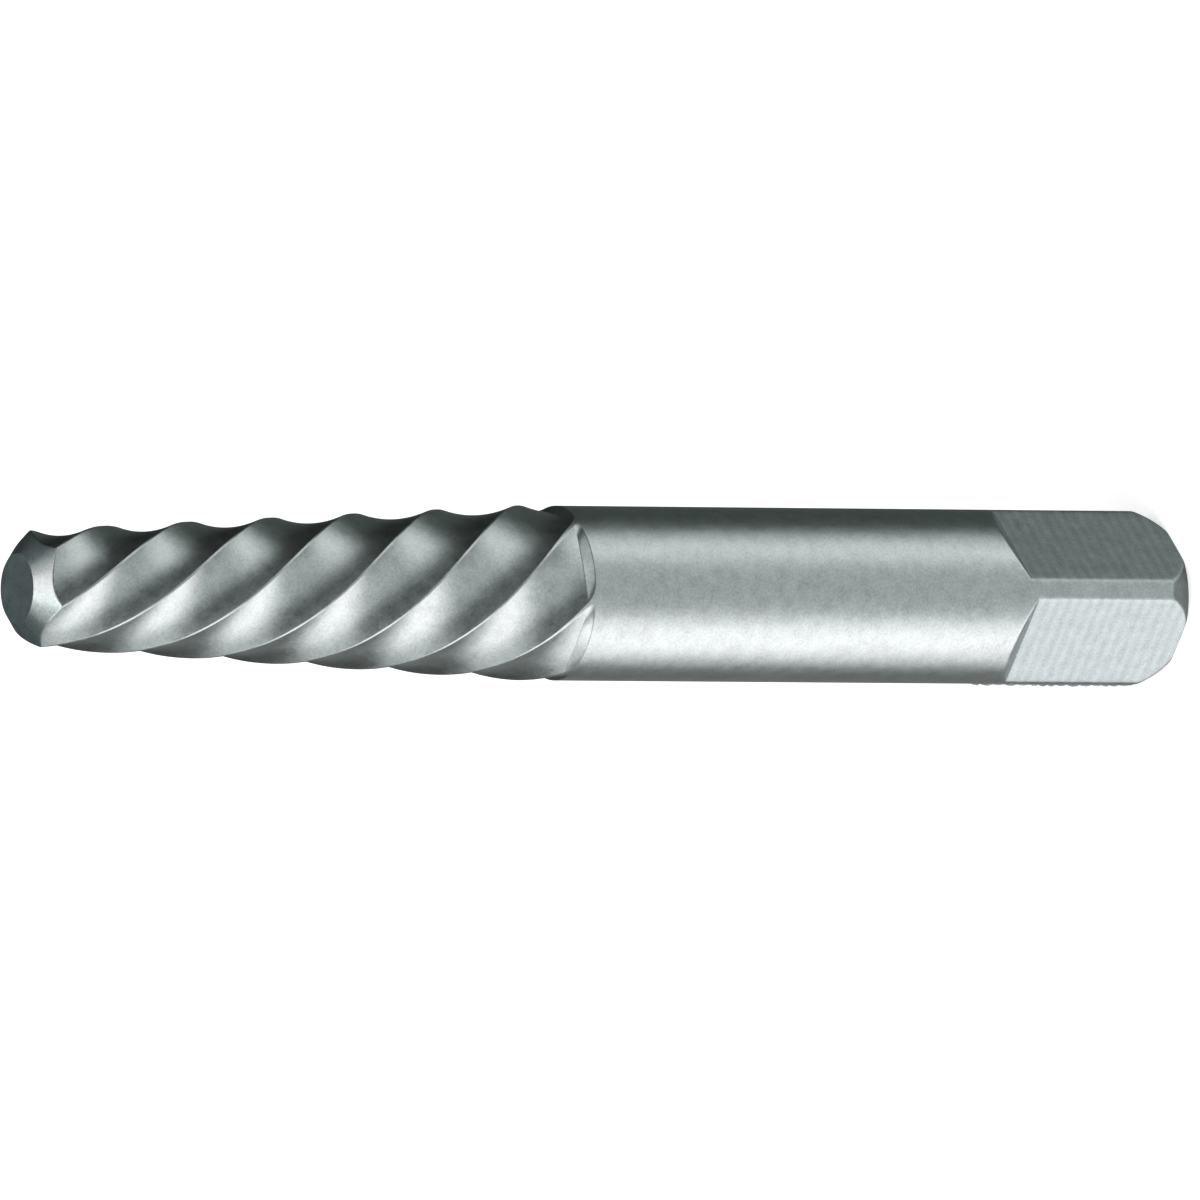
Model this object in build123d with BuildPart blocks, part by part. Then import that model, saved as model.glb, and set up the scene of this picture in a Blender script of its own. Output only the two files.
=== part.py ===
"""Spiral-fluted screw extractor, one piece of tool steel.

A turned blank with a tapered nose, six left-hand flutes along the taper, and
a square with four flats at the driving end. It stands on its square end, with
the axis along +Z and the origin at the centre of that end face. Millimetres.
"""

import os
from math import ceil, degrees, radians, tan

from build123d import *

# Turned blank
overall_length = 85.0
shank_diameter = 11.5
tip_crest_diameter = 7.65
taper_length = 37.2
tip_face_diameter = 4.6
tip_bevel_angle = 50.0

# Square drive, milled one pair of flats after the other, and its rounded end chamfer
square_across_flats = 9.0
first_pair_length = 12.3
second_pair_length = 11.8
shoulder_slope = 43.0
end_chamfer_length = 2.0
end_chamfer_depth = 1.15
end_chamfer_bow = 0.09

# Left-hand flutes between six crests
crest_count = 6
crest_land_width = 0.12
tip_crest_angle = -21.2
flute_lead = 37.0
flute_depth = 0.51
run_out_length = 1.0
run_out_overrun = 3.1
section_twist = 15.0
run_out_sections = 5

# Where the turned profiles start: this share of the way from one crest to the next
profile_share = 0.85

# Clearance that a cutting body has past the face it leaves
tool_overrun = 1.0

shank_radius = shank_diameter / 2
tip_crest_radius = tip_crest_diameter / 2
crest_pitch = 360.0 / crest_count
taper_slope = (shank_radius - tip_crest_radius) / taper_length
flute_end = taper_length + run_out_overrun
run_out_start = flute_end - run_out_length


def crest_radius(from_tip):
    """Radius of the cone that the crests lie on, at a distance from the tip face."""
    return tip_crest_radius + taper_slope * from_tip


def root_depth(from_tip):
    """Flute depth: full along the taper, then it lifts out past the crests along an arc."""
    lift = max(0.0, from_tip - run_out_start) / run_out_length
    return flute_depth * (1.0 - lift**2)


def twist(from_tip):
    """Angle of the first crest about +Z: it falls towards the tip, a left-hand spiral."""
    return tip_crest_angle + 360.0 * from_tip / flute_lead


def at_angle(radius, angle):
    """Point of a section from its radius and its angle in degrees."""
    return Vector(radius, 0).rotate(Axis.Z, angle)


def upright_plane(angle):
    """Plane through the axis: its X points at an angle about +Z, and its Y is +Z."""
    return Plane((0, 0, 0), at_angle(1, angle), at_angle(1, angle - 90))


def section_plane(from_tip):
    """Plane across the axis, turned so that the first crest lies on its X axis."""
    return Plane.XY.offset(overall_length - from_tip).rotated((0, 0, twist(from_tip)))


def fluted_outline(radius, depth):
    """Section of the taper: a narrow land on each crest and a bowed side up to the next."""
    half_land = degrees(crest_land_width / radius) / 2
    for crest in range(crest_count):
        start = crest * crest_pitch
        land = Line(at_angle(radius, start - half_land), at_angle(radius, start + half_land))
        side_end = at_angle(radius, start + crest_pitch - half_land)
        side_middle = at_angle(radius - depth, start + crest_pitch / 2)
        Bezier(land @ 1, side_middle * 2 - (land @ 1 + side_end) / 2, side_end)


# Plane of the turned profiles: it runs out of a flute, so no widening crest is split by a seam
profile_plane = upright_plane(twist(taper_length) + profile_share * crest_pitch)

# Fluted nose: sections lofted from past the tip to past the run-out, inside the blank
first_section = -tool_overrun
last_section = flute_end + tool_overrun
full_depth_span = run_out_start - first_section
run_out_span = last_section - run_out_start
full_depth_sections = ceil(360.0 * full_depth_span / flute_lead / section_twist)
section_places = [
    first_section + full_depth_span * index / full_depth_sections
    for index in range(full_depth_sections)
]
section_places += [
    run_out_start + run_out_span * index / run_out_sections
    for index in range(run_out_sections + 1)
]
shank_length = overall_length - last_section
tip_face_radius = tip_face_diameter / 2
full_bevel_length = (shank_radius - tip_face_radius) / tan(radians(tip_bevel_angle))

with BuildPart() as fluted_nose:
    for from_tip in section_places:
        with BuildSketch(section_plane(from_tip)):
            with BuildLine():
                fluted_outline(crest_radius(from_tip), root_depth(from_tip))
            make_face()
    loft()
    with BuildSketch(profile_plane):
        with BuildLine():
            Polyline(
                (0, shank_length),
                (shank_radius, shank_length),
                (shank_radius, overall_length - full_bevel_length),
                (tip_face_radius, overall_length),
                (0, overall_length),
                close=True,
            )
        make_face()
    revolve(axis=Axis.Z, mode=Mode.INTERSECT)

# Cuts for the flats: each has a shoulder that slopes up to the shank
half_square = square_across_flats / 2
flat_reach = shank_radius + tool_overrun
shoulder_rise = (flat_reach - half_square) / tan(radians(shoulder_slope))
chamfer_start = (shank_radius - end_chamfer_depth, 0)
chamfer_end = (shank_radius, end_chamfer_length)

# Shank, chamfered at its square end, with the nose on it and four flats
with BuildPart() as extractor_body:
    with BuildSketch(profile_plane):
        with BuildLine():
            Line((0, 0), chamfer_start)
            SagittaArc(chamfer_start, chamfer_end, -end_chamfer_bow)
            Polyline(chamfer_end, (shank_radius, shank_length), (0, shank_length), (0, 0))
        make_face()
    revolve(axis=Axis.Z)
    add(fluted_nose.part)
    for side in range(4):
        flat_length = (first_pair_length, second_pair_length)[side % 2]
        with BuildSketch(upright_plane(90.0 * side)):
            with BuildLine():
                Polyline(
                    (half_square, -tool_overrun),
                    (flat_reach, -tool_overrun),
                    (flat_reach, flat_length + shoulder_rise),
                    (half_square, flat_length),
                    close=True,
                )
            make_face()
        extrude(amount=flat_reach, both=True, mode=Mode.SUBTRACT)

extractor_body.part.label = "extractor_body"

os.makedirs("parts", exist_ok=True)
export_step(extractor_body.part, "parts/extractor_body.step")
print("volume mm3", round(extractor_body.part.volume, 1))
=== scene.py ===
"""Looks of the spiral-fluted screw extractor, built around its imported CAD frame.

The body is one closed surface, worked out with numpy: a radius for each height
and angle about the tool's axis. Sizes are in millimetres until they go into
Blender, and the angles that a class holds are in degrees where it doesn't say
otherwise. The tool stands on its square end, with the axis along +Z.
"""

import logging
import math
from dataclasses import dataclass, field
from enum import Enum

import bpy
import numpy as np
from mathutils import Matrix, Vector


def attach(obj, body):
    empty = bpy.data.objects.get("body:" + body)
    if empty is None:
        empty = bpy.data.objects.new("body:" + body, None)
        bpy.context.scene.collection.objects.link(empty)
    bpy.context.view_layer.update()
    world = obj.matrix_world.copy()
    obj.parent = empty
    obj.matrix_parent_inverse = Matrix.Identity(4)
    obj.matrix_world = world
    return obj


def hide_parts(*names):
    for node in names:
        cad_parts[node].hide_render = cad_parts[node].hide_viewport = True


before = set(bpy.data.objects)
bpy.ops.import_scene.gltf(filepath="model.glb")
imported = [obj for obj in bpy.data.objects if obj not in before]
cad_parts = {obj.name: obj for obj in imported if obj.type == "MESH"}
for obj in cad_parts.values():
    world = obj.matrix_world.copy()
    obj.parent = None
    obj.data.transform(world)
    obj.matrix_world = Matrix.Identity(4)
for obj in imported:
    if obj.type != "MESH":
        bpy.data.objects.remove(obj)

log = logging.getLogger("extractor")
MM = 0.001
FULL_TURN = 2.0 * math.pi
UP = np.array([0.0, 0.0, 1.0])


class Skin(Enum):
    """Finish of a face of the body; the value is its material index."""

    BLASTED = 0
    MILLED = 1


def soft_least(ease: float, *forms: np.ndarray) -> np.ndarray:
    """Least of several radii, with the corner between them rounded off a little.

    Formula: minus ease times the logarithm of the sum of exp(-radius / ease).

    Args:
        ease: Size of the rounding, in mm.
        forms: Arrays of radii that broadcast together.

    Returns:
        Array of radii, never more than the least of the forms.
    """
    stack = np.stack(np.broadcast_arrays(*forms))
    least = stack.min(axis=0)
    return least - ease * np.log(np.exp((least - stack) / ease).sum(axis=0))


def bunched(start: float, end: float, count: int) -> np.ndarray:
    """Places from start towards end that crowd together at both ends, end left out.

    Formula: start plus the span times half of one minus cosine of an even angle.

    Args:
        start: First place.
        end: Place that the next run begins at.
        count: Number of places.

    Returns:
        Array of the places.
    """
    share = (1.0 - np.cos(np.pi * np.arange(count) / count)) / 2.0
    return start + (end - start) * share


def even(start: float, end: float, count: int) -> np.ndarray:
    """Evenly spaced places from start towards end, end left out.

    Args:
        start: First place.
        end: Place that the next run begins at.
        count: Number of places.

    Returns:
        Array of the places.
    """
    return start + (end - start) * np.arange(count) / count


def tube_faces(rows: int, columns: int) -> tuple[np.ndarray, np.ndarray]:
    """Faces of a stack of rings that a pole closes at each end.

    Formula: the points are numbered ring by ring; the low and the high pole come last.

    Args:
        rows: Number of rings.
        columns: Points of each ring.

    Returns:
        Quads between the rings, and triangles from the end rings to the poles.
    """
    index = np.arange(rows * columns).reshape(rows, columns)
    after = np.roll(index, -1, axis=1)
    quads = np.stack([index[:-1], after[:-1], after[1:], index[1:]], axis=-1).reshape(-1, 4)
    low = np.full(columns, rows * columns)
    foot = np.stack([after[0], index[0], low], axis=-1)
    head = np.stack([index[-1], after[-1], low + 1], axis=-1)
    return quads, np.concatenate([foot, head])


def smooth_piece(
    name: str, points: np.ndarray, quads: np.ndarray, fans: np.ndarray
) -> bpy.types.Object:
    """Object with a mesh that is smooth all over.

    Args:
        name: Name of the piece and its mesh.
        points: Vertices in metres.
        quads: Faces with four corners.
        fans: Faces with three corners, which come after the quads.

    Returns:
        The new object, linked into the scene.
    """
    corners = np.concatenate([quads.ravel(), fans.ravel()])
    sizes = np.repeat([4, 3], [len(quads), len(fans)])
    mesh = bpy.data.meshes.new(name)
    mesh.vertices.add(len(points))
    mesh.vertices.foreach_set("co", points.astype(np.float32).ravel())
    mesh.loops.add(len(corners))
    mesh.loops.foreach_set("vertex_index", corners.astype(np.int32))
    mesh.polygons.add(len(sizes))
    mesh.polygons.foreach_set("loop_start", (np.cumsum(sizes) - sizes).astype(np.int32))
    mesh.polygons.foreach_set("use_smooth", np.ones(len(sizes), bool))
    mesh.update(calc_edges=True)
    mesh.validate()
    piece = bpy.data.objects.new(name, mesh)
    bpy.context.scene.collection.objects.link(piece)
    log.info("%s: %d faces", name, len(sizes))
    return piece


def bare_material(name: str) -> bpy.types.Material:
    """New material with an empty node tree.

    Args:
        name: Name of the material.

    Returns:
        The new material.
    """
    mat = bpy.data.materials.new(name)
    mat.use_nodes = True
    mat.node_tree.nodes.clear()
    return mat


def math_node(
    tree: bpy.types.NodeTree, kind: str, *terms: bpy.types.NodeSocket | float
) -> bpy.types.NodeSocket:
    """Math node on sockets or numbers.

    Args:
        tree: Node tree to build it in.
        kind: The node's operation.
        terms: What goes into it, in order.

    Returns:
        Its output socket.
    """
    node = tree.nodes.new("ShaderNodeMath")
    node.operation = kind
    for place, term in enumerate(terms):
        if isinstance(term, float):
            node.inputs[place].default_value = term
        else:
            tree.links.new(term, node.inputs[place])
    return node.outputs[0]


def greatest(tree: bpy.types.NodeTree, *terms: bpy.types.NodeSocket) -> bpy.types.NodeSocket:
    """Socket with the greatest value of several sockets, from a chain of math nodes.

    Args:
        tree: Node tree to build it in.
        terms: The sockets.

    Returns:
        Output socket of the last node.
    """
    most = terms[0]
    for term in terms[1:]:
        most = math_node(tree, "MAXIMUM", most, term)
    return most


@dataclass(frozen=True)
class TurnedBlank:
    """Round blank that every cut is made in: end chamfer, shank and tip bevel."""

    length: float = 85.0
    shank_radius: float = 5.75
    chamfer_length: float = 1.7
    chamfer_depth: float = 1.0
    chamfer_bow: float = 0.08
    tip_face_radius: float = 2.3
    bevel_angle: float = 50.0

    def chamfer_radius(self, height: np.ndarray) -> np.ndarray:
        """Rounded end chamfer: an arc that stands out from its chord by the bow.

        Formula: the arc's centre plus the root of its radius squared less the
        height from that centre squared; it stays at its widest above the centre.

        Args:
            height: Heights above the square's end.

        Returns:
            Array of radii, wider than the shank above the chamfer.
        """
        chord = math.hypot(self.chamfer_length, self.chamfer_depth)
        arc = (chord**2 / 4 + self.chamfer_bow**2) / (2 * self.chamfer_bow)
        back = (arc - self.chamfer_bow) / chord
        middle = self.shank_radius - self.chamfer_depth / 2 - back * self.chamfer_length
        rise = self.chamfer_length / 2 + back * self.chamfer_depth
        return middle + np.sqrt(arc**2 - (np.minimum(height, rise) - rise) ** 2)

    def bevel_radius(self, from_tip: np.ndarray) -> np.ndarray:
        """Cone of the tip bevel: face radius plus distance times the angle's tangent."""
        return self.tip_face_radius + from_tip * math.tan(math.radians(self.bevel_angle))


@dataclass(frozen=True)
class FlutedTaper:
    """Six left-hand flutes between narrow crests that lie on a slim cone."""

    tip_radius: float = 3.825
    shank_radius: float = 5.75
    length: float = 37.2
    crests: int = 6
    land: float = 0.2
    first_crest: float = -21.2
    lead: float = 37.0
    depth: float = 0.51
    overrun: float = 2.78
    run_out: float = 0.6
    past_slope: float = 0.012
    exit_slope: float = 0.5
    exit_margin: float = 0.2

    @property
    def end(self) -> float:
        """Distance from the tip face at which the flutes' cut has lifted out."""
        return self.length + self.overrun

    @property
    def reach(self) -> float:
        """Distance from the tip face past which every flute has ended."""
        return self.end + self.exit_margin

    def cone(self, from_tip: np.ndarray) -> np.ndarray:
        """Radius that the crests reach.

        Formula: the tip's radius plus the taper's slope times the distance, up to
        the taper's length, plus two more slopes times the distances past the
        taper and past the flutes' end.

        Args:
            from_tip: Distances from the tip face.

        Returns:
            Array of radii in mm.
        """
        slope = (self.shank_radius - self.tip_radius) / self.length
        taper = self.tip_radius + slope * np.minimum(from_tip, self.length)
        past = self.past_slope * np.maximum(0.0, from_tip - self.length)
        return taper + past + self.exit_slope * np.maximum(0.0, from_tip - self.end)

    def cut(self, from_tip: np.ndarray) -> np.ndarray:
        """Depth of the flutes: full, then less by the share of the way through the run-out."""
        return self.depth * np.clip((self.end - from_tip) / self.run_out, 0.0, 1.0)

    def twist(self, from_tip: np.ndarray) -> np.ndarray:
        """Angle of the first crest: one full turn for each lead, in radians."""
        return math.radians(self.first_crest) + FULL_TURN * from_tip / self.lead

    def pitch_section(
        self, from_tip: np.ndarray, land_columns: int, side_columns: int
    ) -> tuple[np.ndarray, np.ndarray]:
        """One crest land and the bowed side after it, for every section at once.

        Formula: the land is a chord; the side is a quadratic Bezier curve from one
        land to the next whose middle lies one cut depth inside the cone.

        Args:
            from_tip: Distances of the sections from the tip face.
            land_columns: Grid columns across the land.
            side_columns: Grid columns across the side, crowded at both ends.

        Returns:
            Angle from the crest in radians, and radius, both sections by columns.
        """
        radius = self.cone(from_tip)[:, None]
        half = self.land / radius / 2.0
        pitch = FULL_TURN / self.crests
        start = np.stack([radius * np.cos(half), radius * np.sin(half)])
        end = np.stack([radius * np.cos(pitch - half), radius * np.sin(pitch - half)])
        sunk = radius - self.cut(from_tip)[:, None]
        middle = np.stack([sunk * math.cos(pitch / 2), sunk * math.sin(pitch / 2)])
        pull = 2.0 * middle - (start + end) / 2.0
        along = even(0.0, 1.0, land_columns)
        back = np.stack([radius * np.cos(half), -radius * np.sin(half)])
        land = back + (start - back) * along
        step = bunched(0.0, 1.0, side_columns)
        side = (1 - step) ** 2 * start + 2 * step * (1 - step) * pull + step**2 * end
        points = np.concatenate([land, side], axis=2)
        return np.arctan2(points[1], points[0]), np.hypot(points[0], points[1])


@dataclass(frozen=True)
class SquareDrive:
    """Four flats, milled in two pairs, with shoulders that slope up to the shank."""

    half_across: float = 4.5
    lengths: tuple[float, float] = (12.3, 11.8)
    shoulder_slope: float = 43.0
    flats: int = 4
    shoulder_top: float = 13.8

    def flat_distance(self, height: np.ndarray, side: np.ndarray) -> np.ndarray:
        """Distance of a milled face from the axis: constant, then it climbs the shoulder.

        Args:
            height: Heights above the square's end.
            side: Number of the flat, counted from the one that faces +X.

        Returns:
            Array of distances.
        """
        length = np.array(self.lengths)[np.asarray(side, int) % len(self.lengths)]
        rise = math.tan(math.radians(self.shoulder_slope))
        return self.half_across + np.maximum(0.0, height - length) * rise

    def corner(self, radius: np.ndarray) -> np.ndarray:
        """Angle from a flat's middle to its edge: arc cosine of half-width over radius."""
        return np.arccos(np.minimum(1.0, self.half_across / radius))

    def angles(self, radius: np.ndarray, flat_columns: int, land_columns: int) -> np.ndarray:
        """Column angles of one quarter turn that keep to the edges of its flat.

        Formula: from the middle of a flat to its edge, over the corner land to the
        next flat's edge, and on to that flat's middle, crowded at the edges.

        Args:
            radius: Radius of the blank at each height.
            flat_columns: Columns across half a flat.
            land_columns: Columns across a corner land.

        Returns:
            Angles in radians, heights by columns.
        """
        corner = self.corner(radius)[:, None]
        quarter = FULL_TURN / self.flats
        rise = np.sin(np.pi / 2 * np.arange(flat_columns) / flat_columns)
        fall = 1.0 - np.cos(np.pi / 2 * np.arange(flat_columns) / flat_columns)
        first = corner * rise
        land = corner + (quarter - 2 * corner) * bunched(0.0, 1.0, land_columns)
        second = quarter - corner + corner * fall
        return np.concatenate([first, land, second], axis=1)

    def radius(self, height: np.ndarray, angle: np.ndarray) -> np.ndarray:
        """Radius at which a ray from the axis meets the nearest milled face.

        Formula: distance of the face over the cosine of the angle from its normal.

        Args:
            height: Heights above the square's end, as a column.
            angle: Angles in radians, heights by columns.

        Returns:
            Array of radii.
        """
        quarter = FULL_TURN / self.flats
        side = np.round(angle / quarter)
        return self.flat_distance(height, side) / np.cos(angle - quarter * side)


@dataclass(frozen=True)
class SteelFinish:
    """Look of one kind of steel surface, built from the shared grain group."""

    name: str
    colour: tuple[float, float, float]
    roughness: float
    grain: float
    pits: float
    tool_marks: float

    def material(self, grain_group: bpy.types.NodeTree) -> bpy.types.Material:
        """Metal whose tone, gloss and relief vary with the grain group.

        Args:
            grain_group: The node group that gives tone, gloss and relief.

        Returns:
            The new material.
        """
        mat = bare_material(self.name)
        tree = mat.node_tree
        out = tree.nodes.new("ShaderNodeOutputMaterial")
        metal = tree.nodes.new("ShaderNodeBsdfPrincipled")
        metal.inputs["Metallic"].default_value = 1.0
        place = tree.nodes.new("ShaderNodeTexCoord")
        grain = tree.nodes.new("ShaderNodeGroup")
        grain.node_tree = grain_group
        for socket, value in (
            ("Colour", (*self.colour, 1.0)),
            ("Roughness", self.roughness),
            ("Grain", self.grain),
            ("Pits", self.pits),
            ("Tool Marks", self.tool_marks),
        ):
            grain.inputs[socket].default_value = value
        bump = tree.nodes.new("ShaderNodeBump")
        bump.inputs["Strength"].default_value = 1.0
        bump.inputs["Distance"].default_value = 1.0
        link = tree.links.new
        link(place.outputs["Object"], grain.inputs["Place"])
        link(grain.outputs["Colour"], metal.inputs["Base Color"])
        link(grain.outputs["Roughness"], metal.inputs["Roughness"])
        link(grain.outputs["Relief"], bump.inputs["Height"])
        link(bump.outputs["Normal"], metal.inputs["Normal"])
        link(metal.outputs["BSDF"], out.inputs["Surface"])
        return mat


@dataclass(frozen=True)
class SteelGrain:
    """Node group shared by every steel finish: blasted grain and fine tool marks."""

    grain_size: float = 0.16
    grain_octaves: float = 2.0
    patch_size: float = 0.9
    patch_octaves: float = 3.0
    patch_share: float = 0.8
    gloss_swing: float = 0.12
    mark_pitch: float = 0.79
    mark_waver: float = 0.6
    mark_octaves: float = 3.0
    mark_detail_scale: float = 2.5
    mark_depth: float = 0.02

    def group(self) -> bpy.types.NodeTree:
        """Builds the group with its named sockets.

        Returns:
            A node tree that gives Colour, Roughness and Relief in metres.
        """
        tree = bpy.data.node_groups.new("steel_grain", "ShaderNodeTree")
        face = tree.interface
        face.new_socket("Place", in_out="INPUT", socket_type="NodeSocketVector")
        face.new_socket("Colour", in_out="INPUT", socket_type="NodeSocketColor")
        for name in ("Roughness", "Grain", "Pits", "Tool Marks"):
            face.new_socket(name, in_out="INPUT", socket_type="NodeSocketFloat")
        face.new_socket("Colour", in_out="OUTPUT", socket_type="NodeSocketColor")
        face.new_socket("Roughness", in_out="OUTPUT", socket_type="NodeSocketFloat")
        face.new_socket("Relief", in_out="OUTPUT", socket_type="NodeSocketFloat")
        inp = tree.nodes.new("NodeGroupInput")
        out = tree.nodes.new("NodeGroupOutput")
        link = tree.links.new
        place = inp.outputs["Place"]
        fine = self.noise(tree, place, self.grain_size, self.grain_octaves)
        patch = self.noise(tree, place, self.patch_size, self.patch_octaves)
        marks = self.marks(tree, place)
        mottle = math_node(tree, "MULTIPLY_ADD", patch, self.patch_share, fine)
        streak = math_node(tree, "MULTIPLY", marks, inp.outputs["Tool Marks"])
        tone = math_node(tree, "MULTIPLY_ADD", mottle, inp.outputs["Grain"], streak)
        tone = math_node(tree, "ADD", tone, 1.0)
        tint = tree.nodes.new("ShaderNodeVectorMath")
        tint.operation = "SCALE"
        link(inp.outputs["Colour"], tint.inputs[0])
        link(tone, tint.inputs["Scale"])
        link(tint.outputs["Vector"], out.inputs["Colour"])
        rough = inp.outputs["Roughness"]
        gloss = math_node(tree, "MULTIPLY_ADD", mottle, self.gloss_swing, rough)
        link(gloss, out.inputs["Roughness"])
        dents = math_node(tree, "MULTIPLY", fine, inp.outputs["Pits"])
        relief = math_node(tree, "MULTIPLY_ADD", streak, self.mark_depth, dents)
        link(math_node(tree, "MULTIPLY", relief, MM), out.inputs["Relief"])
        return tree

    def noise(
        self,
        tree: bpy.types.NodeTree,
        place: bpy.types.NodeSocket,
        size: float,
        detail: float,
    ) -> bpy.types.NodeSocket:
        """Noise about zero with features of that size.

        Args:
            tree: Node tree to build it in.
            place: Socket with the place on the piece.
            size: Size of a feature, in mm.
            detail: Octaves of the noise.

        Returns:
            Output socket, from about -0.5 to 0.5.
        """
        node = tree.nodes.new("ShaderNodeTexNoise")
        node.inputs["Scale"].default_value = 1.0 / (size * MM)
        node.inputs["Detail"].default_value = detail
        tree.links.new(place, node.inputs["Vector"])
        return math_node(tree, "SUBTRACT", node.outputs["Fac"], 0.5)

    def marks(
        self, tree: bpy.types.NodeTree, place: bpy.types.NodeSocket
    ) -> bpy.types.NodeSocket:
        """Wavering lines across the axis, one for each feed of the cutter.

        Formula: the wave node's scale is pi over ten pitches in metres.

        Args:
            tree: Node tree to build it in.
            place: Socket with the place on the piece.

        Returns:
            Output socket, from -0.5 to 0.5.
        """
        node = tree.nodes.new("ShaderNodeTexWave")
        node.wave_type = "BANDS"
        node.bands_direction = "Z"
        node.inputs["Scale"].default_value = math.pi / 10.0 / (self.mark_pitch * MM)
        node.inputs["Distortion"].default_value = self.mark_waver
        node.inputs["Detail"].default_value = self.mark_octaves
        node.inputs["Detail Scale"].default_value = self.mark_detail_scale
        tree.links.new(place, node.inputs["Vector"])
        return math_node(tree, "SUBTRACT", node.outputs["Fac"], 0.5)


@dataclass
class ExtractorBody:
    """The whole tool as one closed surface of radius over height and angle."""

    blank: TurnedBlank = field(default_factory=TurnedBlank)
    taper: FlutedTaper = field(default_factory=FlutedTaper)
    drive: SquareDrive = field(default_factory=SquareDrive)
    edge_ease: float = 0.02
    run_out_ease: float = 0.008
    square_ease: float = 0.055
    crest_columns: int = 3
    side_columns: int = 37
    flat_columns: int = 24
    corner_columns: int = 12
    cap_rings: int = 9
    chamfer_rows: int = 18
    flat_rows: int = 38
    shoulder_rows: int = 44
    shank_rows: int = 20
    tip_edge: float = 0.12
    bevel_reach: float = 1.6
    wall_start: float = 38.2
    nose_rows: tuple[int, ...] = (6, 34, 126, 12, 52)
    foot_margin: float = 0.001

    def heights(self) -> tuple[np.ndarray, np.ndarray]:
        """Grid heights of the square and shank, and distances from the tip of the nose.

        Returns:
            Heights from the square's end up, and distances from the tip down to the shank.
        """
        square = min(self.drive.lengths)
        top = self.drive.shoulder_top
        lower = np.concatenate([
            bunched(0.0, self.blank.chamfer_length, self.chamfer_rows),
            bunched(self.blank.chamfer_length, square, self.flat_rows),
            even(square, top, self.shoulder_rows),
            even(top, self.blank.length - self.taper.reach, self.shank_rows),
        ])
        ends = (
            0.0,
            self.tip_edge,
            self.bevel_reach,
            self.taper.length,
            self.wall_start,
            self.taper.reach,
        )
        runs = [even(*run) for run in zip(ends, ends[1:], self.nose_rows)]
        from_tip = np.concatenate(runs)
        return lower, from_tip

    def nose(self, from_tip: np.ndarray) -> tuple[np.ndarray, np.ndarray]:
        """Grid of the fluted nose.

        Formula: the softened least of the fluted section, the shank and the bevel.

        Args:
            from_tip: Distances of the rows from the tip face.

        Returns:
            Angles and radii, rows by columns.
        """
        angle, radius = self.taper.pitch_section(
            from_tip, self.crest_columns, self.side_columns
        )
        turns = FULL_TURN / self.taper.crests * np.arange(self.taper.crests)
        spread = angle[:, None, :] + turns[None, :, None]
        spread = spread.reshape(len(from_tip), -1) + self.taper.twist(from_tip)[:, None]
        radius = np.tile(radius, (1, self.taper.crests))
        bevel = self.blank.bevel_radius(from_tip)[:, None]
        round_part = soft_least(self.run_out_ease, radius, self.blank.shank_radius)
        return spread, soft_least(self.edge_ease, round_part, bevel)

    def stem(self, height: np.ndarray, join: np.ndarray) -> tuple[np.ndarray, np.ndarray]:
        """Grid of the shank and the square.

        Formula: the softened least of the milled faces and the chamfered round;
        the columns turn evenly from the square's edges to the nose's last row.

        Args:
            height: Heights of the rows above the square's end.
            join: Angles of the nose's row that the shank meets.

        Returns:
            Angles and radii, rows by columns.
        """
        chamfer = self.blank.chamfer_radius(height)
        blank = soft_least(self.edge_ease, chamfer, self.blank.shank_radius)
        quarter = self.drive.angles(blank, self.flat_columns, self.corner_columns)
        turns = FULL_TURN / self.drive.flats * np.arange(self.drive.flats)
        square = (quarter[:, None, :] + turns[None, :, None]).reshape(len(height), -1)
        square = square + FULL_TURN * round(float((join[0] - square[-1, 0]) / FULL_TURN))
        start = self.drive.shoulder_top
        end = self.blank.length - self.taper.reach
        share = np.clip((height - start) / (end - start), 0.0, 1.0)[:, None]
        angle = square + share * (join[None, :] - square)
        milled = self.drive.radius(height[:, None], angle)
        radius = soft_least(self.square_ease, milled, blank[:, None])
        return angle, radius

    def surface(self) -> tuple[np.ndarray, np.ndarray, np.ndarray]:
        """Points and faces of the closed body.

        Formula: each row of the grid is a ring; the end rings shrink to a pole.

        Returns:
            Vertices in metres, the quads, and the triangles at the poles.
        """
        lower, from_tip = self.heights()
        order = from_tip[::-1]
        nose_angle, nose_radius = self.nose(order)
        stem_angle, stem_radius = self.stem(lower, nose_angle[0])
        shrink = np.cos(np.pi / 2 * np.arange(1, self.cap_rings) / self.cap_rings)[:, None]
        caps = (len(shrink), len(shrink))
        angle = np.pad(np.concatenate([stem_angle, nose_angle]), (caps, (0, 0)), mode="edge")
        height = np.pad(np.concatenate([lower, self.blank.length - order]), caps, mode="edge")
        foot, head = stem_radius[:1] * shrink[::-1], nose_radius[-1:] * shrink
        radius = np.concatenate([foot, stem_radius, nose_radius, head])
        across = (radius * np.cos(angle), radius * np.sin(angle))
        skin = np.stack([*across, np.broadcast_to(height[:, None], angle.shape)], axis=-1)
        poles = np.array([[0.0, 0.0, 0.0], [0.0, 0.0, self.blank.length]])
        points = np.concatenate([skin.reshape(-1, 3), poles]) * MM
        return (points, *tube_faces(*angle.shape))

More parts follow.
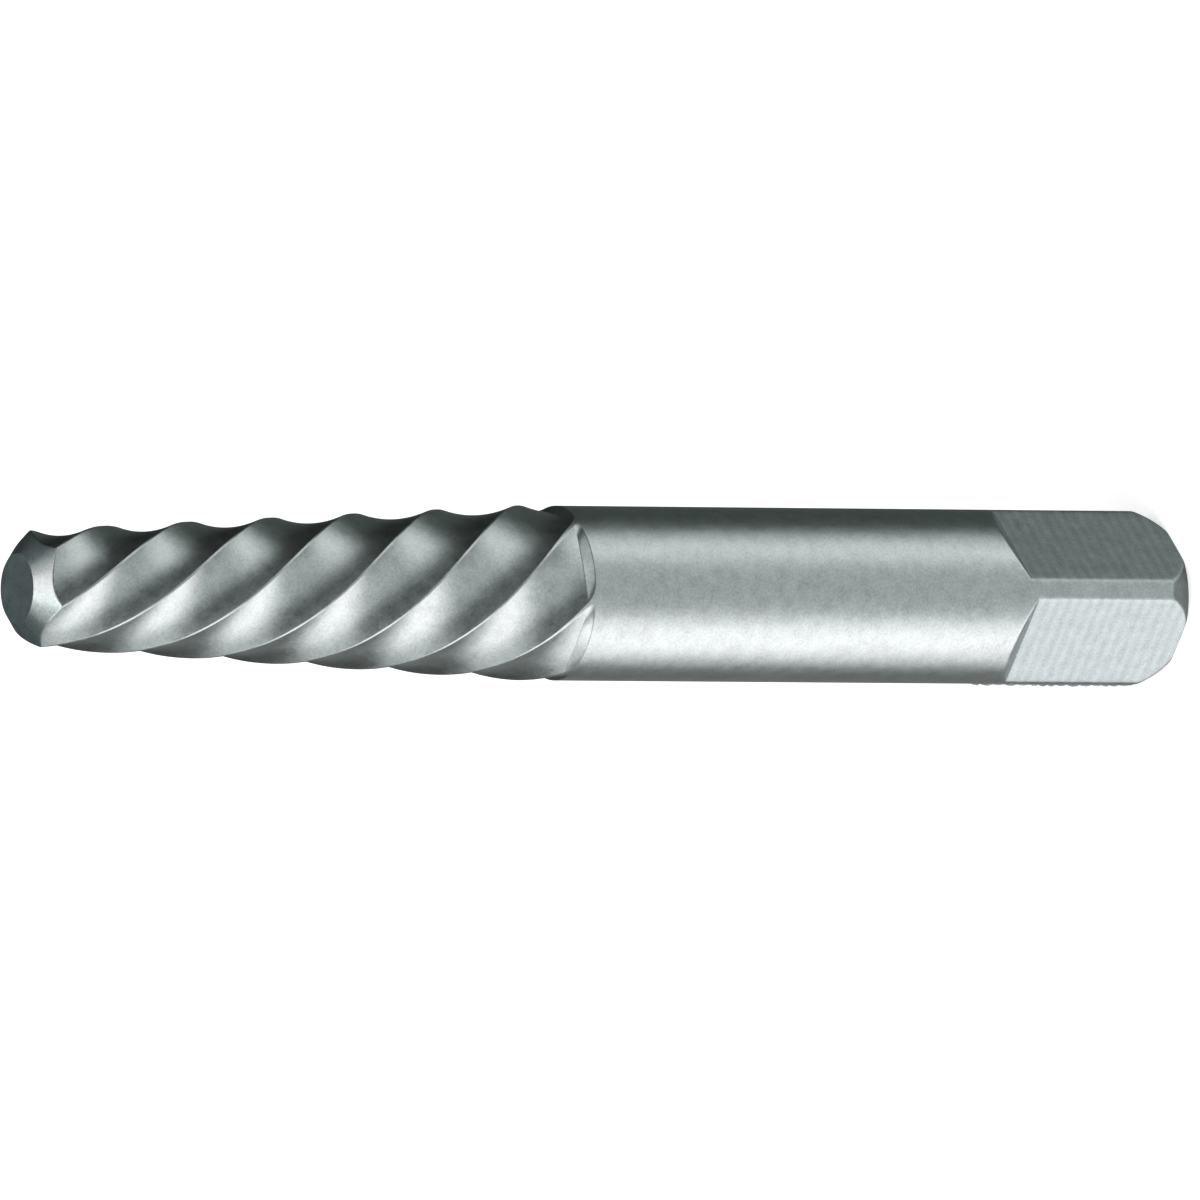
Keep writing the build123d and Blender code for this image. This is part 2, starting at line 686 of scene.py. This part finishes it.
    def skins(self, points: np.ndarray, quads: np.ndarray, fans: np.ndarray) -> np.ndarray:
        """Material index of each face: milled where its middle lies on a flat or shoulder.

        Args:
            points: Vertices in metres.
            quads: Faces with four corners.
            fans: Faces with three corners.

        Returns:
            Integer array, one for each face, quads first.
        """
        middle = np.concatenate([points[faces].mean(axis=1) for faces in (quads, fans)]) / MM
        plan = np.abs(middle[:, :2])
        face = self.drive.flat_distance(middle[:, 2], plan[:, 1] > plan[:, 0])
        milled = (plan.max(axis=1) > face - self.square_ease) & (middle[:, 2] > self.foot_margin)
        milled &= middle[:, 2] < self.drive.shoulder_top
        return np.where(milled, Skin.MILLED.value, Skin.BLASTED.value).astype(np.int32)

    def build(self, finishes: dict[Skin, bpy.types.Material]) -> bpy.types.Object:
        """Makes, dresses and places the body.

        Args:
            finishes: Material of each skin.

        Returns:
            The finished object.
        """
        points, quads, fans = self.surface()
        body = smooth_piece("extractor_steel", points, quads, fans)
        for skin in Skin:
            body.data.materials.append(finishes[skin])
        body.data.polygons.foreach_set("material_index", self.skins(points, quads, fans))
        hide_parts("extractor_body")
        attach(body, "root")
        return body


@dataclass
class MillingBurr:
    """Ragged lip that the cutter left along one edge of a flat.

    The side is the flat's number, and the edge is 1 or -1, the way from the flat's
    middle. Phases are in radians, and rates in radians for each millimetre.
    """

    name: str
    side: int
    edge: int
    top: float
    height: float
    drive: SquareDrive = field(default_factory=SquareDrive)
    shank_radius: float = 5.75
    start: float = 1.5
    step: float = 0.03
    root: float = 0.06
    half_width: float = 0.07
    pitch: float = 0.79
    lean: float = 0.6
    highest_face: float = 4.8
    columns: int = 10
    wander: float = 0.7
    wander_rate: float = 1.3
    ripple_pitch: float = 0.27
    ripple_shift: float = 2.0
    ripple_rate: float = 2.1
    slow_share: float = 0.25
    slow_rates: tuple[float, float] = (1.7, 0.9)
    slow_start: float = 0.8
    shares: tuple[float, float, float] = (0.15, 0.75, 0.1)
    fade: float = 0.3

    def path(self, height: np.ndarray) -> tuple[np.ndarray, np.ndarray]:
        """Edge of the flat and the direction that the lip stands in.

        Formula: the angle off the flat's normal is the arc cosine of the milled
        face's distance over the shank's radius, and on the shoulder it stops
        short; the lip leans from the round's normal along the flat.

        Args:
            height: Heights above the square's end.

        Returns:
            Points in mm and unit vectors, one for each height.
        """
        distance = self.drive.flat_distance(height, np.full(len(height), self.side))
        off = np.arccos(np.minimum(distance, self.highest_face) / self.shank_radius)
        normal = FULL_TURN / self.drive.flats * self.side
        turn = normal + self.edge * off
        points = np.stack(
            [self.shank_radius * np.cos(turn), self.shank_radius * np.sin(turn), height], axis=-1
        )
        way = self.edge * np.array([-math.sin(normal), math.cos(normal), 0.0])
        out = points * np.array([1.0, 1.0, 0.0]) / self.shank_radius
        lip = (1 - self.lean) * out + self.lean * way
        return points, lip / np.linalg.norm(lip, axis=1)[:, None]

    def reach(self, height: np.ndarray) -> np.ndarray:
        """Height of the lip.

        Formula: a least share, plus a sine's size for each feed of the cutter with
        a wandering phase, plus a fine ripple; the product of two slow sines scales
        them, and they fade at both ends.

        Args:
            height: Heights above the square's end.

        Returns:
            Array of lengths in mm.
        """
        wander = self.wander * np.sin(self.wander_rate * height + self.side)
        lump = np.abs(np.sin(np.pi * height / self.pitch + wander))
        shift = self.ripple_shift * np.sin(self.ripple_rate * height)
        ripple = 0.5 + 0.5 * np.sin(FULL_TURN * height / self.ripple_pitch + shift)
        first_rate, second_rate = self.slow_rates
        wave = np.sin(first_rate * height + self.slow_start) * np.sin(second_rate * height)
        slow = 1.0 - self.slow_share + self.slow_share * wave
        ends = np.minimum(height - height[0], height[-1] - height) / self.fade
        least, lump_share, ripple_share = self.shares
        size = least + lump_share * lump + ripple_share * ripple
        return self.height * size * slow * np.clip(ends, 0.0, 1.0)

    def build(self, steel: bpy.types.Material) -> bpy.types.Object:
        """Oval section carried along the edge, closed at both ends.

        Formula: cosine of the turn along the lip, from the root to the reach, and
        sine of the turn across it, times the half width.

        Args:
            steel: Its material.

        Returns:
            The finished object.
        """
        height = np.arange(self.start, self.top, self.step)
        points, lip = self.path(height)
        reach = self.reach(height)[:, None, None]
        turn = FULL_TURN * np.arange(self.columns) / self.columns
        across = np.cross(UP, lip)[:, None, :]
        rise = ((reach + self.root) * np.cos(turn)[None, :, None] + reach - self.root) / 2
        side = self.half_width * np.sin(turn)[None, :, None]
        skin = points[:, None, :] + lip[:, None, :] * rise + across * side
        verts = np.concatenate([skin.reshape(-1, 3), points[[0, -1]]]) * MM
        lip_object = smooth_piece(self.name, verts, *tube_faces(*skin.shape[:2]))
        lip_object.data.materials.append(steel)
        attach(lip_object, "root")
        return lip_object


@dataclass(frozen=True)
class View:
    """The photograph's viewing angle, in the frame of the tool.

    The lean is the tool's tilt in the picture, in radians.
    """

    elevation: float = 28.5
    azimuth: float = -50.3
    lean: float = 0.0085
    along: float = 38.1
    across: float = -0.43
    frame_width: float = 78.4
    lens: float = 1600.0
    sensor: float = 36.0
    clip: tuple[float, float] = (100.0, 20000.0)

    @property
    def toward(self) -> np.ndarray:
        """Level direction from the tool to the camera."""
        turn = math.radians(self.azimuth)
        return np.array([math.cos(turn), math.sin(turn), 0.0])

    @property
    def side(self) -> np.ndarray:
        """Level direction that is up in the picture, across the tool's axis."""
        return np.cross(UP, self.toward)

    def direction(self, azimuth: np.ndarray, elevation: np.ndarray) -> np.ndarray:
        """Unit vectors at an azimuth from the camera's side and an elevation.

        Formula: cosine of elevation times the level direction, plus its sine along Z.

        Args:
            azimuth: Degrees from the camera's side, positive towards the picture's top.
            elevation: Degrees above level.

        Returns:
            Array of unit vectors, with the three coordinates last.
        """
        turn, rise = np.radians(azimuth), np.radians(elevation)
        level = np.cos(turn)[..., None] * self.toward + np.sin(turn)[..., None] * self.side
        return np.cos(rise)[..., None] * level + np.sin(rise)[..., None] * UP

    def camera(self, tip: float) -> bpy.types.Object:
        """Long lens at the photograph's angle, rolled so that the tool lies across.

        Args:
            tip: Height of the tip face, in mm.

        Returns:
            The camera, set as the scene's own.
        """
        rise = math.radians(self.elevation)
        back = math.cos(rise) * self.toward + math.sin(rise) * UP
        right = np.cross(self.side, back)
        aim = tip * UP + self.along * right + self.across * self.side
        across = math.cos(self.lean) * right + math.sin(self.lean) * self.side
        up = np.cross(back, across)
        eye = (aim + back * self.frame_width * self.lens / self.sensor) * MM
        data = bpy.data.cameras.new("view_camera")
        data.sensor_width = self.sensor
        data.lens = self.lens
        data.clip_start, data.clip_end = self.clip[0] * MM, self.clip[1] * MM
        eye_object = bpy.data.objects.new("view_camera", data)
        turn = Matrix((across, up, back)).transposed().to_4x4()
        eye_object.matrix_world = Matrix.Translation(Vector(eye)) @ turn
        bpy.context.scene.collection.objects.link(eye_object)
        bpy.context.scene.camera = eye_object
        return eye_object


@dataclass(frozen=True)
class ReflectedCard:
    """Studio card that only the metal's reflections see, with soft edges.

    It is a patch of a sphere round the tool, at its own level in the middle, and it
    gives way to what is behind it at its edges. Its angles count from the camera's
    side and from level.
    """

    name: str
    azimuth: tuple[float, float]
    elevation: tuple[float, float]
    soft: tuple[float, float]
    level: float
    tint: tuple[float, float, float] = (1.0, 1.0, 1.0)
    distance: float = 600.0
    columns: int = 49
    rows: int = 33

    def cover(
        self, place: np.ndarray, span: tuple[float, float], soft: float, limit: float
    ) -> np.ndarray:
        """Window over a span with eased ends.

        Formula: the smooth step of the distance to the nearer end over the soft
        width; an end at the limit, a pole or half a turn, isn't eased.

        Args:
            place: Angles in degrees.
            span: First and last angle of the card.
            soft: Width of the eased ends, in degrees.
            limit: Greatest angle of this kind.

        Returns:
            Array from 0 at the ends to 1 inside.
        """
        first = place - span[0] if span[0] != -limit else soft
        last = span[1] - place if span[1] != limit else soft
        inside = np.clip(np.minimum(first, last) / soft, 0.0, 1.0)
        return inside * inside * (3.0 - 2.0 * inside)

    def build(self, view: View, centre: float) -> bpy.types.Object:
        """Makes the patch with its cover as an attribute.

        Args:
            view: Gives the directions that the card's angles count from.
            centre: Height of the sphere's centre, in mm.

        Returns:
            The new stage object.
        """
        across = np.linspace(*self.azimuth, self.columns)
        up = np.linspace(*self.elevation, self.rows)
        turn, rise = np.meshgrid(across, up)
        points = view.direction(turn, rise) * self.distance + centre * UP
        cover = self.cover(turn, self.azimuth, self.soft[0], limit=180.0)
        cover = cover * self.cover(rise, self.elevation, self.soft[1], limit=90.0)
        index = np.arange(turn.size).reshape(turn.shape)
        corners = (index[:-1, :-1], index[:-1, 1:], index[1:, 1:], index[1:, :-1])
        faces = np.stack(corners, axis=-1).reshape(-1, 4)
        mesh = bpy.data.meshes.new(self.name)
        mesh.from_pydata((points.reshape(-1, 3) * MM).tolist(), [], faces.tolist())
        mesh.attributes.new("cover", "FLOAT", "POINT").data.foreach_set("value", cover.ravel())
        mesh.materials.append(self.material())
        card = bpy.data.objects.new(self.name, mesh)
        bpy.context.scene.collection.objects.link(card)
        card.visible_camera = False
        card.visible_diffuse = False
        card.visible_shadow = False
        log.info("%s: card at level %.2f", self.name, self.level)
        return card

    def material(self) -> bpy.types.Material:
        """Glow at the card's level that gives way to what is behind as its cover falls.

        Returns:
            The new material.
        """
        mat = bare_material(self.name)
        tree = mat.node_tree
        out = tree.nodes.new("ShaderNodeOutputMaterial")
        glow = tree.nodes.new("ShaderNodeEmission")
        glow.inputs["Color"].default_value = (*self.tint, 1.0)
        glow.inputs["Strength"].default_value = self.level
        clear = tree.nodes.new("ShaderNodeBsdfTransparent")
        cover = tree.nodes.new("ShaderNodeAttribute")
        cover.attribute_name = "cover"
        mix = tree.nodes.new("ShaderNodeMixShader")
        tree.links.new(cover.outputs["Fac"], mix.inputs["Fac"])
        tree.links.new(clear.outputs["BSDF"], mix.inputs[1])
        tree.links.new(glow.outputs["Emission"], mix.inputs[2])
        tree.links.new(mix.outputs["Shader"], out.inputs["Surface"])
        mat.cycles.emission_sampling = "NONE"
        return mat


@dataclass(frozen=True)
class Studio:
    """Pale floor, white room, one soft lamp and the cards round the tool."""

    view: View
    room_level: float = 0.7
    floor_half: float = 1500.0
    floor_gap: float = 0.02
    floor_colour: tuple[float, float, float] = (0.85, 0.85, 0.85)
    floor_glow: float = 0.5
    lamp_power: float = 2.0
    lamp_size: float = 500.0
    lamp_distance: float = 800.0
    lamp_azimuth: float = -40.0
    lamp_elevation: float = 60.0
    cards: tuple[ReflectedCard, ...] = (
        ReflectedCard(
            "key_card",
            azimuth=(-110.0, -14.0),
            elevation=(-80.0, 4.0),
            soft=(41.0, 25.0),
            level=3.1,
            tint=(1.1, 0.98, 1.0),
        ),
        ReflectedCard(
            "fill_card",
            azimuth=(36.0, 86.0),
            elevation=(-70.0, -4.0),
            soft=(18.0, 20.0),
            level=1.95,
            tint=(1.05, 1.0, 1.0),
        ),
        ReflectedCard(
            "top_card",
            azimuth=(-46.0, 86.0),
            elevation=(46.0, 90.0),
            soft=(38.0, 16.0),
            level=2.6,
            tint=(1.12, 0.95, 0.99),
        ),
        ReflectedCard(
            "wall_card",
            azimuth=(-92.0, -32.0),
            elevation=(16.0, 56.0),
            soft=(18.0, 14.0),
            level=3.4,
            tint=(1.1, 0.97, 0.99),
        ),
        ReflectedCard(
            "under_flag",
            azimuth=(-180.0, 180.0),
            elevation=(-90.0, -44.0),
            soft=(9.0, 26.0),
            level=0.4,
            distance=640.0,
        ),
        ReflectedCard(
            "right_flag",
            azimuth=(83.0, 194.0),
            elevation=(-80.0, 16.0),
            soft=(14.0, 14.0),
            level=0.11,
            tint=(0.9, 1.05, 1.0),
            distance=560.0,
        ),
        ReflectedCard(
            "right_high_flag",
            azimuth=(88.0, 194.0),
            elevation=(-27.0, 30.0),
            soft=(14.0, 10.0),
            level=0.01,
            distance=557.0,
        ),
        ReflectedCard(
            "left_flag",
            azimuth=(-192.0, -99.0),
            elevation=(-80.0, 16.0),
            soft=(18.0, 14.0),
            level=0.26,
            distance=555.0,
        ),
        ReflectedCard(
            "left_top_flag",
            azimuth=(-150.0, -50.0),
            elevation=(50.0, 82.0),
            soft=(22.0, 9.0),
            level=0.25,
            distance=552.0,
        ),
        ReflectedCard(
            "left_high_flag",
            azimuth=(-192.0, -84.0),
            elevation=(-25.0, 60.0),
            soft=(16.0, 12.0),
            level=0.08,
            distance=550.0,
        ),
        ReflectedCard(
            "back_flag",
            azimuth=(82.0, 262.0),
            elevation=(0.0, 62.0),
            soft=(14.0, 12.0),
            level=0.16,
            tint=(0.85, 1.05, 1.1),
            distance=540.0,
        ),
        ReflectedCard(
            "front_flag",
            azimuth=(-48.0, 194.0),
            elevation=(-14.0, 24.0),
            soft=(24.0, 9.0),
            level=0.04,
            distance=535.0,
        ),
    )

    def world(self) -> None:
        """White room: strength 1 for camera, gloss and glass, the plain level for the rest."""
        world = bpy.data.worlds.new("white_room")
        bpy.context.scene.world = world
        world.use_nodes = True
        tree = world.node_tree
        tree.nodes.clear()
        out = tree.nodes.new("ShaderNodeOutputWorld")
        back = tree.nodes.new("ShaderNodeBackground")
        back.inputs["Color"].default_value = (1.0, 1.0, 1.0, 1.0)
        level = tree.nodes.new("ShaderNodeMapRange")
        level.inputs["To Min"].default_value = self.room_level
        level.inputs["To Max"].default_value = 1.0
        tree.links.new(self.seen(tree), level.inputs["Value"])
        tree.links.new(level.outputs["Result"], back.inputs["Strength"])
        tree.links.new(back.outputs["Background"], out.inputs["Surface"])
        world.cycles.sampling_method = "NONE"

    def seen(self, tree: bpy.types.NodeTree) -> bpy.types.NodeSocket:
        """Socket that is 1 for camera, glossy and transmission rays.

        Args:
            tree: Node tree to build it in.

        Returns:
            Output socket of the last node.
        """
        path = tree.nodes.new("ShaderNodeLightPath")
        rays = ("Is Camera Ray", "Is Glossy Ray", "Is Transmission Ray")
        return greatest(tree, *(path.outputs[ray] for ray in rays))

    def floor_material(self) -> bpy.types.Material:
        """Matt floor that glows a little for the camera, clear to reflections and from below.

        Returns:
            The new material.
        """
        mat = bare_material("pale_floor")
        tree = mat.node_tree
        out = tree.nodes.new("ShaderNodeOutputMaterial")
        path = tree.nodes.new("ShaderNodeLightPath")
        side = tree.nodes.new("ShaderNodeNewGeometry")
        matt = tree.nodes.new("ShaderNodeBsdfDiffuse")
        matt.inputs["Color"].default_value = (*self.floor_colour, 1.0)
        glow = tree.nodes.new("ShaderNodeEmission")
        both = tree.nodes.new("ShaderNodeAddShader")
        clear = tree.nodes.new("ShaderNodeBsdfTransparent")
        mix = tree.nodes.new("ShaderNodeMixShader")
        level = math_node(tree, "MULTIPLY", path.outputs["Is Camera Ray"], self.floor_glow)
        rays = ("Is Glossy Ray", "Is Transmission Ray", "Is Shadow Ray")
        past = greatest(tree, *(path.outputs[ray] for ray in rays), side.outputs["Backfacing"])
        link = tree.links.new
        link(level, glow.inputs["Strength"])
        link(matt.outputs["BSDF"], both.inputs[0])
        link(glow.outputs["Emission"], both.inputs[1])
        link(past, mix.inputs["Fac"])
        link(both.outputs["Shader"], mix.inputs[1])
        link(clear.outputs["BSDF"], mix.inputs[2])
        link(mix.outputs["Shader"], out.inputs["Surface"])
        mat.cycles.emission_sampling = "NONE"
        return mat

    def floor(self) -> bpy.types.Object:
        """Pale floor just under the tool, which keeps its shadow.

        Returns:
            The new stage object.
        """
        corner = self.floor_half * MM
        low = -self.floor_gap * MM
        points = [
            (-corner, -corner, low),
            (corner, -corner, low),
            (corner, corner, low),
            (-corner, corner, low),
        ]
        mesh = bpy.data.meshes.new("floor")
        mesh.from_pydata(points, [], [(0, 1, 2, 3)])
        mesh.materials.append(self.floor_material())
        ground = bpy.data.objects.new("floor", mesh)
        bpy.context.scene.collection.objects.link(ground)
        log.info("floor: %.1f m square", 2 * corner)
        return ground

    def lamp(self, centre: float) -> bpy.types.Object:
        """Large soft lamp above the camera's left.

        Args:
            centre: Height that it points at, in mm.

        Returns:
            The new lamp.
        """
        data = bpy.data.lights.new("soft_lamp", "AREA")
        data.shape = "SQUARE"
        data.size = self.lamp_size * MM
        data.energy = self.lamp_power
        lamp = bpy.data.objects.new("soft_lamp", data)
        way = self.view.direction(np.array(self.lamp_azimuth), np.array(self.lamp_elevation))
        place = Vector(way * (self.lamp_distance * MM)) + Vector(centre * MM * UP)
        turn = Vector(way).to_track_quat("Z", "Y").to_matrix().to_4x4()
        lamp.matrix_world = Matrix.Translation(place) @ turn
        bpy.context.scene.collection.objects.link(lamp)
        log.info("soft_lamp: %.1f W", self.lamp_power)
        return lamp

    def build(self, tip: float) -> None:
        """Sets up the room round a tool of that height.

        Args:
            tip: Height of the tip face, in mm.
        """
        self.world()
        self.floor()
        self.lamp(tip / 2)
        for card in self.cards:
            card.build(self.view, tip / 2)
        self.view.camera(tip)


def main() -> None:
    """Builds the tool and its studio, and keeps the imported CAD body, hidden, beside it."""
    logging.basicConfig(level=logging.INFO, format="%(name)s %(message)s")
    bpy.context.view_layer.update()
    grain = SteelGrain().group()
    finishes = {
        Skin.BLASTED: SteelFinish(
            "blasted_steel",
            colour=(0.308, 0.358, 0.351),
            roughness=0.33,
            grain=0.6,
            pits=0.005,
            tool_marks=0.0,
        ).material(grain),
        Skin.MILLED: SteelFinish(
            "milled_steel",
            colour=(0.284, 0.338, 0.338),
            roughness=0.44,
            grain=0.6,
            pits=0.005,
            tool_marks=0.11,
        ).material(grain),
    }
    body = ExtractorBody()
    body.build(finishes)
    for burr in (
        MillingBurr("first_pair_burr", side=2, edge=1, top=13.6, height=0.2),
        MillingBurr("second_pair_burr", side=1, edge=1, top=11.9, height=0.08),
    ):
        burr.build(finishes[Skin.MILLED])
    Studio(View()).build(body.blank.length)
    bpy.context.scene.view_settings.view_transform = "Standard"


if __name__ == "__main__":
    main()
